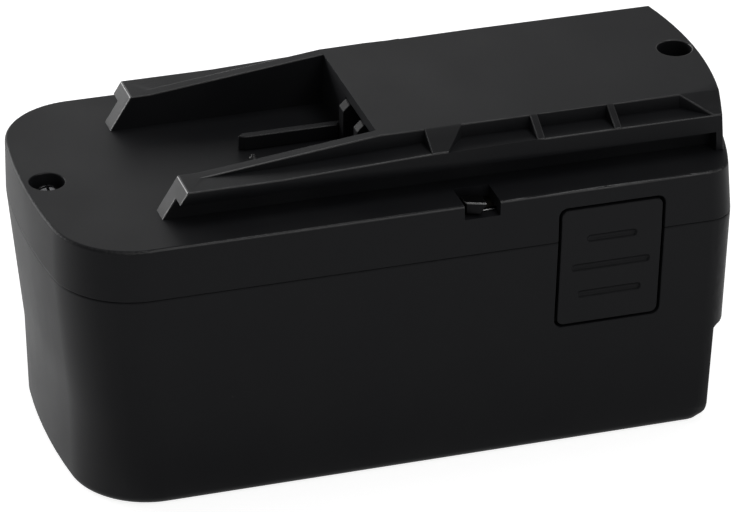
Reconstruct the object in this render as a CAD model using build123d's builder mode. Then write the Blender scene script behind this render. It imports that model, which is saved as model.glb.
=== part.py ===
from build123d import *
import os
from math import asin, cos, pi, sin, sqrt

os.makedirs("parts", exist_ok=True)

# A slide-on battery pack for a cordless tool: a moulded tub of ten cells, closed by a cover
# whose raised slide block carries the rails, the contact slots and two latch hooks.
# Millimetres. +Z is up, -X is the end that slides onto the tool, -Y is the near, left side.
# The origin is the middle of the underside.

# Shell heights
shell_floor = 2.2
knee_height = 16.5
seam_height = 42.5
deck_height = 52.4
block_height = 62.2
wall = 2.0
roof = 2.2

# Shell plan: bowed ends between straight sides that lean inwards towards the underside
front_bow = 130.0
front_corner = 14.5
rear_bow = 76.0
rear_corner = 5.5
half_width_base = 27.7
half_width_seam = 29.25
half_width_deck = 29.15
front_base = 60.6
front_knee = 61.1
front_seam = 63.85
rear_base = 63.0
rear_knee = 63.4
rear_seam = 63.85
rear_deck = 62.9
rear_block_foot = 62.3
rear_block = 61.4
block_room_rear = 57.4
past_rear = 80.0
base_rounding = 1.8
rim_rounding = 0.6
seam_chamfer = 0.25
tongue_outer = 1.0
tongue_height = 1.1
tongue_play = 0.1

# Ribs inside the tub that keep the cells from moving
rib_thickness = 1.6
rib_top = 38.2
side_rib_columns = (-33.6, -11.2, 11.2)
side_rib_middle = 23.6
side_rib_depth = 7.0
end_rib_middle = 58.1
end_rib_depth = 4.0
post_web = 2.4
boss_web = 3.0

# Finger step under the rear end
step_depth = 1.4
step_draft = 0.5
step_rounding = 1.4
step_ceiling = 19.7

# Slide rails beside the open recess
rail_inner = 15.2
block_half_width = 17.45
web_half_width = 19.1
flange_half_width = 22.0
rail_front_top = 40.0
rail_front_foot = 43.8
flange_underside = 56.15
flange_front_top = 58.6
flange_rear_top = 59.6
flange_rise_start = -23.0
flange_rise_end = 4.1
ramp_start = -36.6
recess_back = -4.1
groove_end = 57.4
rail_front_slope = (rail_front_foot - rail_front_top) / (flange_front_top - deck_height)

# Webs between the block and the flanges, as x at the block and x at the lip
first_web = (4.1, 11.0, 7.1)
second_web = (23.6, 25.1)
third_web = (38.0, 39.4)
end_web = (51.8, 56.7)

# Screws on the centre line
front_screw_x = -59.4
rear_screw_x = 57.6
counterbore_radius = 3.15
front_screw_seat = 48.6
rear_screw_seat = 47.8
screw_places = ((front_screw_x, front_screw_seat), (rear_screw_x, rear_screw_seat))
screw_clearance = 1.7
screw_thread = 1.5
screw_head_radius = 2.7
screw_head_height = 2.75
screw_head_side = 1.3
screw_length = 16.0
screw_point = 1.5
cross_slot = (3.2, 0.55)
cross_depth = 1.6
thread_play = 0.05
boss_radius = 3.4
post_foot = 28.0
pilot_foot = 31.0
cover_boss_radius = 4.4

# Release buttons, one in each side
button_left_edge = 25.8
button_right_edge = 45.2
button_foot = 25.0
button_top = 48.8
button_corner = 1.3
button_gap = 0.5
button_rim = 1.1
button_rim_outer = 26.2
button_rim_inner = 25.1
grip_grooves = ((30.9, 40.3, 42.4), (28.2, 43.0, 36.7), (29.7, 41.6, 31.1))
grip_groove_height = 1.4
grip_groove_depth = 0.6
grip_groove_round = (grip_groove_height ** 2 / 4 + grip_groove_depth ** 2) / (2 * grip_groove_depth)

# Latch hooks that rise through notches in the deck rim
notch_front = 7.9
notch_rear = 14.5
notch_floor = 49.7
notch_inner = 22.6
hook_front = 8.3
hook_rear = 12.1
hook_tip = 29.0
hook_root = 27.0
hook_ramp = 27.7
hook_foot = 50.0
hook_top = 52.3
hook_lean = 1.0
stem_inner = 25.2
stem_outer = 26.6
arm_inner = 23.9
arm_sheet = 1.2
arm_bend = (19.6, 22.4)
arm_foot = 46.7
arm_top = 49.6
arm_rear = 44.0
peg_places = (29.0, 41.0)
peg_radius = 1.0

# Button springs, which stand in the valleys between the cells
spring_x = 33.6
spring_z = 37.0
spring_radius = 2.2
spring_wire = 0.3
spring_turns = 5
spring_pocket_radius = 3.0
spring_pocket_depth = 2.0
spring_seat_outer = 20.5
spring_seat_inner = 18.0
spring_seat_width = 4.0
spring_seat_top = 42.0

# Ten cells in two rows of five
cell_radius = 11.1
cell_pitch = 22.4
cell_foot = 3.3
cell_top = 46.1
cell_nub_radius = 3.6
cell_nub_height = 0.8
cell_crimp_depth = 0.5
cell_columns = 5
columns = [(index - (cell_columns - 1) / 2) * cell_pitch for index in range(cell_columns)]
row_ys = (-cell_pitch / 2, cell_pitch / 2)
strip_thickness = 0.3
strip_width = 7.0
strip_corner = 1.5
end_tab_length = 9.0
card_thickness = 0.8
card_half_length = 55.8
card_half_width = 21.4
pad_half_width = 17.7
card_corner = 9.0
card_lead_hole = 3.0

# Contact slots behind the recess
slot_wide = (-6.7, -0.9)
slot_narrow = (-12.9, -9.0)
contact_fin_front = -5.4
contact_fin_edge = 1.8
contact_window = (-12.95, 1.95)
contact_top = 59.95
contact_block_rear = 10.0
contact_block_outer = -14.6
contact_block_inner = 3.2
fin_chamfer = 1.2
clip_sheet = 0.5
clip_front = 0.2
clip_pinch = 1.6
clip_shoulder = 3.2
clip_rear = 8.2
clip_top = 58.4
clip_half_width = 1.25
clip_half_mouth = 0.6
lead_radius = 0.9
lead_height = 55.4
lead_drop = 53.5
lead_bend = 5.4
wide_lead_turn = 24.0
narrow_lead_turn = 34.0

# Thermal cut-out in the valley between four cells
cutout_x = 33.6
cutout_body = (6.4, 3.2, 12.0)
cutout_corner = 1.0
cutout_leg = (1.6, 0.5, 2.4)
cutout_leg_spread = 2.2
cutout_slot = (7.0, 2.0)

# Rib on the recess floor
floor_rib = (-24.0, 1.3, 3.0)
floor_rib_point = 1.1
floor_rib_height = 2.75


def half_width_at(height):
    """Half width of the tub at a height, on the straight draft of its sides."""
    share = height / seam_height
    return half_width_base + (half_width_seam - half_width_base) * share


def front_at(height):
    """Reach of the tub's bowed front end at a height: upright below the knee, leaning out above it."""
    if height <= knee_height:
        return front_base + (front_knee - front_base) * height / knee_height
    share = (height - knee_height) / (seam_height - knee_height)
    return front_knee + (front_seam - front_knee) * share


def end_points(reach, half_width, bow, corner):
    """Tangent points of one bowed end: on the bow, inside the corner arc and on the straight side."""
    centre = reach - bow
    corner_y = half_width - corner
    corner_x = centre + sqrt((bow - corner) ** 2 - corner_y ** 2)
    turn = asin(corner_y / (bow - corner))
    middle = (turn + pi / 2) / 2
    on_bow = (centre + bow * cos(turn), bow * sin(turn))
    on_arc = (corner_x + corner * cos(middle), corner_y + corner * sin(middle))
    on_side = (corner_x, half_width)
    return on_bow, on_arc, on_side


def draw_plan(half_width, front, rear, inset=0.0, mode=Mode.ADD):
    """Plan of the pack: two straight sides, bowed ends and round corners, drawn into the open sketch."""
    width = half_width - inset
    rear_on_bow, rear_on_arc, rear_on_side = end_points(
        rear - inset, width, rear_bow - inset, rear_corner - inset
    )
    front_on_bow, front_on_arc, front_on_side = end_points(
        front - inset, width, front_bow - inset, front_corner - inset
    )
    rear_far = [rear_on_bow, rear_on_arc, rear_on_side]
    rear_near = [(x, -y) for x, y in rear_far]
    front_far = [(-x, y) for x, y in (front_on_bow, front_on_arc, front_on_side)]
    front_near = [(x, -y) for x, y in front_far]
    with BuildLine() as outline:
        ThreePointArc(rear_near[0], (rear - inset, 0), rear_far[0])
        ThreePointArc(*rear_far)
        Line(rear_far[2], front_far[2])
        ThreePointArc(*reversed(front_far))
        ThreePointArc(front_far[0], (inset - front, 0), front_near[0])
        ThreePointArc(*front_near)
        Line(front_near[2], rear_near[2])
        ThreePointArc(*reversed(rear_near))
    make_face(outline.edges(), mode=mode)


# Outer form of the tub, from the underside to the seam
with BuildPart() as tub_form:
    with BuildSketch(Plane.XY):
        draw_plan(half_width_base, front_base, rear_base)
    with BuildSketch(Plane.XY.offset(knee_height)):
        draw_plan(half_width_at(knee_height), front_knee, rear_knee)
    loft(ruled=True)
    with BuildSketch(Plane.XY.offset(knee_height)):
        draw_plan(half_width_at(knee_height), front_knee, rear_knee)
    with BuildSketch(Plane.XY.offset(seam_height)):
        draw_plan(half_width_seam, front_seam, rear_seam)
    loft(ruled=True)

# Outer form of the cover, from the seam to the deck
with BuildPart() as deck_form:
    with BuildSketch(Plane.XY.offset(seam_height)):
        draw_plan(half_width_seam, front_seam, rear_seam)
    with BuildSketch(Plane.XY.offset(deck_height)):
        draw_plan(half_width_deck, front_seam, rear_deck)
    loft(ruled=True)

# Room inside the tub, with the upright ribs and screw posts left standing
with BuildPart() as tub_room:
    for bottom, top, rear in (
        (shell_floor, step_ceiling + wall, rear_base - step_depth),
        (step_ceiling + wall, seam_height, rear_knee),
    ):
        with BuildSketch(Plane.XY.offset(bottom)):
            draw_plan(half_width_at(bottom), front_at(bottom), rear, wall)
        with BuildSketch(Plane.XY.offset(top)):
            draw_plan(half_width_at(top), front_at(top), rear, wall)
        loft(ruled=True)
    # posts for the two screws, joined to the end walls
    with BuildSketch(Plane.XY.offset(post_foot)):
        with Locations((front_screw_x, 0), (rear_screw_x, 0)):
            Circle(boss_radius)
        with Locations((rear_screw_x + boss_radius, 0)):
            Rectangle(2 * boss_radius, post_web)
    extrude(amount=seam_height, mode=Mode.SUBTRACT)
    # ribs that reach between the cells from both sides
    side_ribs = [(x, y) for x in side_rib_columns for y in (-side_rib_middle, side_rib_middle)]
    end_ribs = [(x, y) for x in (-end_rib_middle, end_rib_middle) for y in row_ys]
    with BuildSketch(Plane.XY.offset(shell_floor)):
        with Locations(*side_ribs):
            Rectangle(rib_thickness, side_rib_depth)
        with Locations(*end_ribs):
            Rectangle(end_rib_depth, rib_thickness)
    extrude(amount=rib_top - shell_floor, mode=Mode.SUBTRACT)

# Profile of the finger step, cut round the bow's own upright axis
with BuildPart() as finger_step:
    step_wall = rear_bow - step_depth
    step_base = step_wall - step_draft
    base_arc = base_rounding * (1 - sqrt(0.5))
    with BuildSketch(Plane.XZ):
        with BuildLine():
            Polyline(
                (rear_bow + 4, step_ceiling + step_rounding),
                (rear_bow + 4, -1),
                (step_base - base_rounding, -1),
                (step_base - base_rounding, 0),
            )
            ThreePointArc(
                (step_base - base_rounding, 0),
                (step_base - base_arc, base_arc),
                (step_base, base_rounding),
            )
            Polyline(
                (step_base, base_rounding),
                (step_wall, step_ceiling - 0.4),
                (step_wall + 0.5, step_ceiling),
            )
            Line((step_wall + 0.5, step_ceiling), (rear_bow - step_rounding + 0.6, step_ceiling))
            ThreePointArc(
                (rear_bow - step_rounding + 0.6, step_ceiling),
                (rear_bow + 0.2, step_ceiling + 0.35),
                (rear_bow + 0.6, step_ceiling + step_rounding),
            )
            Line((rear_bow + 0.6, step_ceiling + step_rounding), (rear_bow + 4, step_ceiling + step_rounding))
        make_face()
    revolve(axis=Axis.Z, revolution_arc=80)

# Windows for the buttons, as a level prism through both sides
button_centre = ((button_left_edge + button_right_edge) / 2, (button_foot + button_top) / 2)
button_size = (button_right_edge - button_left_edge, button_top - button_foot)
with BuildPart() as button_windows:
    with BuildSketch(Plane.XZ.offset(-40)):
        with Locations(button_centre):
            RectangleRounded(
                button_size[0] + button_gap, button_size[1] + button_gap, button_corner + button_gap / 2
            )
    extrude(amount=80)

# Tub: the lower shell
seat_places = [(spring_x, side * (spring_seat_outer + spring_seat_inner) / 2) for side in (-1, 1)]
with BuildPart() as case:
    add(tub_form.part)
    fillet(case.edges().group_by(Axis.Z)[0], base_rounding)
    chamfer(case.edges().group_by(Axis.Z)[-1], seam_chamfer)
    add(
        finger_step.part.rotate(Axis.Z, -40).translate((rear_knee - rear_bow, 0, 0)),
        mode=Mode.SUBTRACT,
    )
    add(tub_room.part, mode=Mode.SUBTRACT)
    # tongue that stands inside the cover's edge
    with BuildSketch(Plane.XY.offset(seam_height)):
        draw_plan(half_width_seam, front_seam, rear_seam, tongue_outer)
        draw_plan(half_width_seam, front_seam, rear_seam, wall, Mode.SUBTRACT)
    extrude(amount=tongue_height)
    with Locations((front_screw_x, 0, pilot_foot), (rear_screw_x, 0, pilot_foot)):
        Cylinder(
            screw_thread,
            seam_height,
            align=(Align.CENTER, Align.CENTER, Align.MIN),
            mode=Mode.SUBTRACT,
        )
    add(button_windows.part, mode=Mode.SUBTRACT)
    # posts behind the springs, in the valleys between the last two columns of cells
    with BuildSketch(Plane.XY.offset(shell_floor)):
        with Locations(*seat_places):
            Rectangle(spring_seat_width, spring_seat_outer - spring_seat_inner)
    extrude(amount=spring_seat_top - shell_floor)
case.part.label = "case"
export_step(case.part, "parts/case.step")

# Rail and sloping shoulder on the near side of the slide block
with BuildPart() as near_rail:
    with BuildSketch(Plane.XZ.offset(rail_inner)):
        with BuildLine():
            Polyline(
                (-rail_front_foot - rail_front_slope, deck_height - 1),
                (-rail_front_top, flange_front_top),
                (flange_rise_start, flange_front_top),
                (flange_rise_end, flange_rear_top),
                (past_rear, flange_rear_top),
                (past_rear, deck_height - 1),
                close=True,
            )
        make_face()
    extrude(amount=flange_half_width - rail_inner)
    # groove under the flange, which the tool's own rail fills
    with BuildSketch(Plane.XZ.offset(web_half_width)):
        with Locations((-past_rear, deck_height - 2)):
            Rectangle(
                past_rear + groove_end,
                flange_underside - deck_height + 2,
                align=(Align.MIN, Align.MIN),
            )
    extrude(amount=rail_inner, mode=Mode.SUBTRACT)
    # ramp from the flange up to the block
    with BuildSketch(Plane.XZ.offset(rail_inner)):
        with BuildLine():
            Polyline(
                (ramp_start, flange_front_top - 1),
                (ramp_start, flange_front_top),
                (recess_back, block_height),
                (recess_back, flange_front_top - 1),
                close=True,
            )
        make_face()
    extrude(amount=block_half_width - rail_inner)
    # shoulder that slopes from the block's edge down to the flange
    with BuildSketch(Plane.YZ.offset(first_web[0])):
        with BuildLine():
            Polyline(
                (-rail_inner, flange_rear_top - 1),
                (-rail_inner, block_height),
                (-block_half_width, block_height),
                (-flange_half_width, flange_rear_top),
                (-flange_half_width, flange_rear_top - 1),
                close=True,
            )
        make_face()
    extrude(amount=past_rear - first_web[0])
    # pockets that leave the cross webs standing
    reach = (flange_half_width - block_half_width + 1) / (flange_half_width - block_half_width)
    lip = -flange_half_width - 1
    for block_from, lip_from, block_to, lip_to in (
        (first_web[1], first_web[2], second_web[0], second_web[0]),
        (second_web[1], second_web[1], third_web[0], third_web[0]),
        (third_web[1], third_web[1], end_web[0], end_web[1]),
    ):
        with BuildSketch(Plane.XY.offset(flange_rear_top)):
            with BuildLine():
                Polyline(
                    (block_from, -block_half_width),
                    (block_from + (lip_from - block_from) * reach, lip),
                    (block_to + (lip_to - block_to) * reach, lip),
                    (block_to, -block_half_width),
                    close=True,
                )
            make_face()
        extrude(amount=block_height, mode=Mode.SUBTRACT)

# Bowed rear end of everything above the deck
with BuildPart() as rear_trim:
    with BuildSketch(Plane.XY.offset(deck_height - 1)):
        draw_plan(past_rear / 2, past_rear, rear_block_foot)
    with BuildSketch(Plane.XY.offset(block_height)):
        draw_plan(past_rear / 2, past_rear, rear_block)
    loft(ruled=True)

# Slide block: core, both rails and the floor rib
with BuildPart() as slide_block:
    with BuildSketch(Plane.XY.offset(deck_height - 1)):
        with Locations((recess_back, 0)):
            Rectangle(past_rear - recess_back, 2 * block_half_width, align=(Align.MIN, Align.CENTER))
    extrude(amount=block_height - deck_height + 1)
    add(near_rail.part)
    add(near_rail.part.mirror(Plane.XZ))
    add(rear_trim.part, mode=Mode.INTERSECT)

# Room inside the cover and its block, with the screw bosses left standing
with BuildPart() as cover_room:
    with BuildSketch(Plane.XY.offset(seam_height - 1)):
        draw_plan(half_width_deck, front_seam, rear_deck, wall)
    extrude(amount=deck_height - roof - seam_height + 1)
    with BuildSketch(Plane.XY.offset(deck_height - roof - 1)):
        with Locations((recess_back + wall, 0)):
            Rectangle(
                block_room_rear - recess_back - wall, 2 * rail_inner, align=(Align.MIN, Align.CENTER)
            )
    extrude(amount=block_height - deck_height + 1)
    with BuildSketch(Plane.XY):
        with Locations((front_screw_x, 0), (rear_screw_x, 0)):
            Circle(cover_boss_radius)
        with Locations((rear_screw_x + cover_boss_radius, 0)):
            Rectangle(2 * cover_boss_radius, boss_web)
    extrude(amount=block_height, mode=Mode.SUBTRACT)

# Cover: the upper shell with the slide block
with BuildPart() as cover:
    add(deck_form.part)
    fillet(cover.edges().group_by(Axis.Z)[-1], rim_rounding)
    add(slide_block.part)
    add(cover_room.part, mode=Mode.SUBTRACT)
    # rebate for the tub's tongue
    with BuildSketch(Plane.XY.offset(seam_height)):
        draw_plan(half_width_seam, front_seam, rear_seam, tongue_outer - tongue_play)
        draw_plan(half_width_seam, front_seam, rear_seam, wall + 1, Mode.SUBTRACT)
    extrude(amount=tongue_height + 2 * tongue_play, mode=Mode.SUBTRACT)
    # counterbored holes for the screws
    for screw_x, screw_seat in screw_places:
        for hole_radius, hole_foot in ((counterbore_radius, screw_seat), (screw_clearance, seam_height)):
            with Locations((screw_x, 0, hole_foot)):
                Cylinder(
                    hole_radius,
                    block_height,
                    align=(Align.CENTER, Align.CENTER, Align.MIN),
                    mode=Mode.SUBTRACT,
                )
    # notches in the rim for the latch hooks
    for side in (-1, 1):
        with Locations(((notch_front + notch_rear) / 2, side * (notch_inner + 5), notch_floor)):
            Box(
                notch_rear - notch_front,
                10,
                deck_height - notch_floor,
                align=(Align.CENTER, Align.CENTER, Align.MIN),
                mode=Mode.SUBTRACT,
            )
    # window through the recess's back wall to the contacts
    with Locations((recess_back - 0.5, sum(contact_window) / 2, deck_height)):
        Box(
            wall + 1,
            contact_window[1] - contact_window[0],
            block_height - roof - deck_height,
            align=(Align.MIN, Align.CENTER, Align.MIN),
            mode=Mode.SUBTRACT,
        )
    add(button_windows.part, mode=Mode.SUBTRACT)
cover.part.label = "cover"
export_step(cover.part, "parts/cover.step")

# Guide rib on the recess floor, with a pointed front end, stepped back beside the contact fin
rib_step = (contact_fin_front - 0.1, contact_window[1] + 0.05)
with BuildPart() as guide_rib:
    with BuildSketch(Plane.XY.offset(deck_height)):
        with BuildLine():
            Polyline(
                (floor_rib[0], (floor_rib[1] + floor_rib[2]) / 2),
                (floor_rib[0] + floor_rib_point, floor_rib[1]),
                (rib_step[0], floor_rib[1]),
                rib_step,
                (recess_back, rib_step[1]),
                (recess_back, floor_rib[2]),
                (floor_rib[0] + floor_rib_point, floor_rib[2]),
                close=True,
            )
        make_face()
    extrude(amount=floor_rib_height)
guide_rib.part.label = "guide_rib"
export_step(guide_rib.part, "parts/guide_rib.step")

# Release buttons: a flush pad with three finger grooves, and a rim that keeps it in its window
with BuildPart() as left_button:
    with BuildSketch(Plane.XZ.offset(button_rim_inner)):
        with Locations(button_centre):
            RectangleRounded(button_size[0] - button_gap, button_size[1] - button_gap, button_corner)
    extrude(amount=10)
    add(tub_form.part + deck_form.part, mode=Mode.INTERSECT)
    with BuildSketch(Plane.XZ.offset(button_rim_inner)):
        with Locations(button_centre):
            RectangleRounded(
                button_size[0] + 2 * button_rim, button_size[1] + 2 * button_rim, button_corner
            )
    extrude(amount=button_rim_outer - button_rim_inner)
    # finger grooves with round floors and round ends
    for groove_from, groove_to, groove_z in grip_grooves:
        groove_y = grip_groove_depth - grip_groove_round - half_width_at(groove_z)
        with Locations(((groove_from + groove_to) / 2, groove_y, groove_z)):
            Cylinder(
                grip_groove_round,
                groove_to - groove_from - grip_groove_height,
                rotation=(0, 90, 0),
                mode=Mode.SUBTRACT,
            )
        for end_x in (groove_from + grip_groove_height / 2, groove_to - grip_groove_height / 2):
            with Locations((end_x, groove_y, groove_z)):
                Sphere(grip_groove_round, mode=Mode.SUBTRACT)
    # pocket for the spring, and pegs that hold the latch hook's arm
    with BuildSketch(Plane.XZ.offset(button_rim_inner)):
        with Locations((spring_x, spring_z)):
            Circle(spring_pocket_radius)
    extrude(amount=spring_pocket_depth, mode=Mode.SUBTRACT)
    with BuildSketch(Plane.XZ.offset(arm_inner)):
        with Locations(*[(x, (arm_foot + arm_top) / 2) for x in peg_places]):
            Circle(peg_radius)
    extrude(amount=button_rim_inner - arm_inner + 0.2)

# Latch hooks: a bent arm that rides on the button, and a ramped tooth that stands in the notch
with BuildPart() as left_hook:
    with BuildSketch(Plane.XY.offset(arm_foot)):
        with BuildLine():
            Polyline(
                (hook_front, -stem_inner),
                (arm_bend[0], -stem_inner),
                (arm_bend[1], -arm_inner),
                (arm_rear, -arm_inner),
                (arm_rear, -button_rim_inner),
                (arm_bend[1] + 0.4, -button_rim_inner),
                (arm_bend[0] + 0.4, -stem_inner - arm_sheet),
                (hook_front, -stem_inner - arm_sheet),
                close=True,
            )
        make_face()
    extrude(amount=arm_top - arm_foot)
    with BuildSketch(Plane.XZ.offset(arm_inner - 1)):
        with Locations(*[(x, (arm_foot + arm_top) / 2) for x in peg_places]):
            Circle(peg_radius + 0.05)
    extrude(amount=3, mode=Mode.SUBTRACT)
    with BuildSketch(Plane.XY.offset(arm_foot)):
        with Locations((hook_front, -stem_inner)):
            Rectangle(hook_rear - hook_front, stem_outer - stem_inner, align=(Align.MIN, Align.MAX))
    extrude(amount=hook_top - arm_foot)
    with BuildSketch(Plane.XY.offset(hook_foot)):
        with BuildLine():
            Polyline(
                (hook_front, -stem_outer + 0.5),
                (hook_front, -hook_root),
                (hook_front + 0.3, -hook_ramp),
                (hook_rear, -hook_tip),
                (hook_rear, -stem_outer + 0.5),
                close=True,
            )
        make_face()
    extrude(amount=hook_top - hook_foot)
    # the catching face leans forward towards its foot
    with BuildSketch(Plane.XZ.offset(stem_outer)):
        with BuildLine():
            Polyline(
                (hook_rear, hook_top),
                (hook_rear + 1, hook_top),
                (hook_rear + 1, hook_foot),
                (hook_rear - hook_lean, hook_foot),
                close=True,
            )
        make_face()
    extrude(amount=hook_tip, mode=Mode.SUBTRACT)

# Button springs, from the pocket in the button to the post between the cells
spring_outer_end = button_rim_inner + spring_pocket_depth - spring_wire - 0.05
spring_inner_end = spring_seat_outer + spring_wire + 0.05
with BuildPart() as left_spring:
    with BuildLine() as coil:
        Helix(
            pitch=(spring_outer_end - spring_inner_end) / spring_turns,
            height=spring_outer_end - spring_inner_end,
            radius=spring_radius,
            center=(spring_x, -spring_outer_end, spring_z),
            direction=(0, 1, 0),
        )
    with BuildSketch(Plane(origin=coil.line @ 0, z_dir=coil.line % 0)):
        Circle(spring_wire)
    sweep(is_frenet=True)

for side_piece, left_name, right_name in (
    (left_button, "release_button_left", "release_button_right"),
    (left_hook, "latch_hook_left", "latch_hook_right"),
    (left_spring, "button_spring_left", "button_spring_right"),
):
    side_piece.part.label = left_name
    export_step(side_piece.part, f"parts/{left_name}.step")
    right_piece = side_piece.part.mirror(Plane.XZ)
    right_piece.label = right_name
    export_step(right_piece, f"parts/{right_name}.step")

# Two screws with domed heads that hold the cover to the tub
dome_height = screw_head_height - screw_head_side
dome_round = (screw_head_radius ** 2 + dome_height ** 2) / (2 * dome_height)
dome_middle = screw_head_radius / 2
dome_middle_drop = dome_round - sqrt(dome_round ** 2 - dome_middle ** 2)
with BuildPart() as cover_screws:
    for screw_x, screw_seat in screw_places:
        head_top = screw_seat + screw_head_height
        with BuildSketch(Plane((screw_x, 0, 0), x_dir=(1, 0, 0), z_dir=(0, -1, 0))):
            with BuildLine():
                ThreePointArc(
                    (0, head_top),
                    (dome_middle, head_top - dome_middle_drop),
                    (screw_head_radius, head_top - dome_height),
                )
                Polyline(
                    (screw_head_radius, head_top - dome_height),
                    (screw_head_radius, screw_seat),
                    (screw_thread - thread_play, screw_seat),
                    (screw_thread - thread_play, screw_seat - screw_length + screw_point),
                    (0, screw_seat - screw_length),
                    (0, head_top),
                )
            make_face()
        revolve(axis=Axis((screw_x, 0, 0), (0, 0, 1)))
        with BuildSketch(Plane.XY.offset(head_top)):
            with Locations((screw_x, 0)):
                Rectangle(*cross_slot)
                Rectangle(*reversed(cross_slot))
        extrude(amount=-cross_depth, mode=Mode.SUBTRACT)
cover_screws.part.label = "cover_screws"
export_step(cover_screws.part, "parts/cover_screws.step")

# Ten cells in series: down the near row, across, and back up the far row
near_cells = [(x, -cell_pitch / 2) for x in reversed(columns)]
far_cells = [(x, cell_pitch / 2) for x in columns]
for number, (cell_x, cell_y) in enumerate(near_cells + far_cells, start=1):
    nub_up = number % 2 == 0

    def level(drop):
        """Height of a point that lies a given drop below the cell's nub."""
        return cell_top - drop if nub_up else cell_foot + drop

    with BuildPart() as cell:
        with BuildSketch(Plane((cell_x, cell_y, 0), x_dir=(1, 0, 0), z_dir=(0, -1, 0))):
            with BuildLine():
                Polyline(
                    (0, level(0)),
                    (cell_nub_radius, level(0)),
                    (cell_nub_radius, level(cell_nub_height + 0.5)),
                    (cell_radius - 1.8, level(cell_nub_height + 0.5)),
                    (cell_radius - 1.8, level(cell_nub_height)),
                    (cell_radius - 0.7, level(cell_nub_height)),
                    (cell_radius, level(cell_nub_height + 0.7)),
                    (cell_radius, level(cell_nub_height + 2.6)),
                    (cell_radius - cell_crimp_depth, level(cell_nub_height + 3.2)),
                    (cell_radius, level(cell_nub_height + 3.8)),
                    (cell_radius, level(cell_top - cell_foot - 0.8)),
                    (cell_radius - 0.8, level(cell_top - cell_foot)),
                    (0, level(cell_top - cell_foot)),
                    close=True,
                )
            make_face()
        revolve(axis=Axis((cell_x, cell_y, 0), (0, 0, 1)))
    cell.part.label = f"cell_{number:02d}"
    export_step(cell.part, f"parts/cell_{number:02d}.step")

# Nickel strips that join neighbouring cells, and the two end tabs that take the leads
tab_height = cell_top + strip_thickness
with BuildPart() as top_strips:
    with BuildSketch(Plane.XY.offset(cell_top)):
        for row_y in row_ys:
            for left_column in (0, 2):
                with Locations(((columns[left_column] + columns[left_column + 1]) / 2, row_y)):
                    RectangleRounded(cell_pitch + strip_width, strip_width, strip_corner)
            with Locations((columns[-1], row_y)):
                RectangleRounded(end_tab_length, strip_width, strip_corner)
    extrude(amount=strip_thickness)
top_strips.part.label = "top_strips"
export_step(top_strips.part, "parts/top_strips.step")

with BuildPart() as bottom_strips:
    with BuildSketch(Plane.XY.offset(cell_foot - strip_thickness)):
        for row_y in row_ys:
            for left_column in (1, 3):
                with Locations(((columns[left_column] + columns[left_column + 1]) / 2, row_y)):
                    RectangleRounded(cell_pitch + strip_width, strip_width, strip_corner)
        with Locations((columns[0], 0)):
            RectangleRounded(strip_width, cell_pitch + strip_width, strip_corner)
    extrude(amount=strip_thickness)
bottom_strips.part.label = "bottom_strips"
export_step(bottom_strips.part, "parts/bottom_strips.step")

# Insulating card over the strips, with holes for the leads and the thermal cut-out
with BuildPart() as top_card:
    with BuildSketch(Plane.XY.offset(tab_height)):
        RectangleRounded(2 * card_half_length, 2 * card_half_width, card_corner)
        with Locations(*[(columns[-1], row_y) for row_y in row_ys]):
            Circle(card_lead_hole, mode=Mode.SUBTRACT)
        with Locations((front_screw_x, 0), (rear_screw_x, 0)):
            Circle(cover_boss_radius + 0.4, mode=Mode.SUBTRACT)
        with Locations((cutout_x, 0)):
            Rectangle(*cutout_slot, mode=Mode.SUBTRACT)
    extrude(amount=card_thickness)
top_card.part.label = "top_card"
export_step(top_card.part, "parts/top_card.step")

# Foam pad under the cells
with BuildPart() as base_pad:
    with BuildSketch(Plane.XY.offset(shell_floor)):
        RectangleRounded(2 * card_half_length, 2 * pad_half_width, card_corner)
    extrude(amount=cell_foot - strip_thickness - shell_floor)
base_pad.part.label = "base_pad"
export_step(base_pad.part, "parts/base_pad.step")

# Thermal cut-out between four cells, with its two legs up through the card
with BuildPart() as thermal_cutout:
    with BuildSketch(Plane.XY.offset(tab_height - cutout_body[2])):
        with Locations((cutout_x, 0)):
            RectangleRounded(cutout_body[0], cutout_body[1], cutout_corner)
    extrude(amount=cutout_body[2])
    with BuildSketch(Plane.XY.offset(tab_height)):
        with Locations((cutout_x - cutout_leg_spread, 0), (cutout_x + cutout_leg_spread, 0)):
            Rectangle(cutout_leg[0], cutout_leg[1])
    extrude(amount=cutout_leg[2])
thermal_cutout.part.label = "thermal_cutout"
export_step(thermal_cutout.part, "parts/thermal_cutout.step")

# Contact block: a base on the card and three upright fins, two of which show in the recess
block_foot = tab_height + card_thickness
block_inside = recess_back + wall
fin_rows = (
    (contact_block_outer, slot_narrow[0], block_inside),
    (slot_narrow[1], slot_wide[0], contact_fin_front),
    (slot_wide[1], contact_fin_edge, contact_fin_front),
)
with BuildPart() as contact_block:
    with BuildSketch(Plane.XY.offset(block_foot)):
        with Locations((block_inside, contact_block_outer)):
            Rectangle(
                contact_block_rear - block_inside,
                contact_block_inner - contact_block_outer,
                align=(Align.MIN, Align.MIN),
            )
    extrude(amount=deck_height - block_foot)
    for fin_from, fin_to, fin_front in fin_rows:
        with BuildSketch(Plane.XZ.offset(-fin_to)):
            with BuildLine():
                Polyline(
                    (contact_block_rear, deck_height),
                    (contact_block_rear, contact_top),
                    (fin_front + fin_chamfer, contact_top),
                    (fin_front, contact_top - fin_chamfer),
                    (fin_front, deck_height),
                    close=True,
                )
            make_face()
        extrude(amount=fin_to - fin_from)
contact_block.part.label = "contact_block"
export_step(contact_block.part, "parts/contact_block.step")

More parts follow.
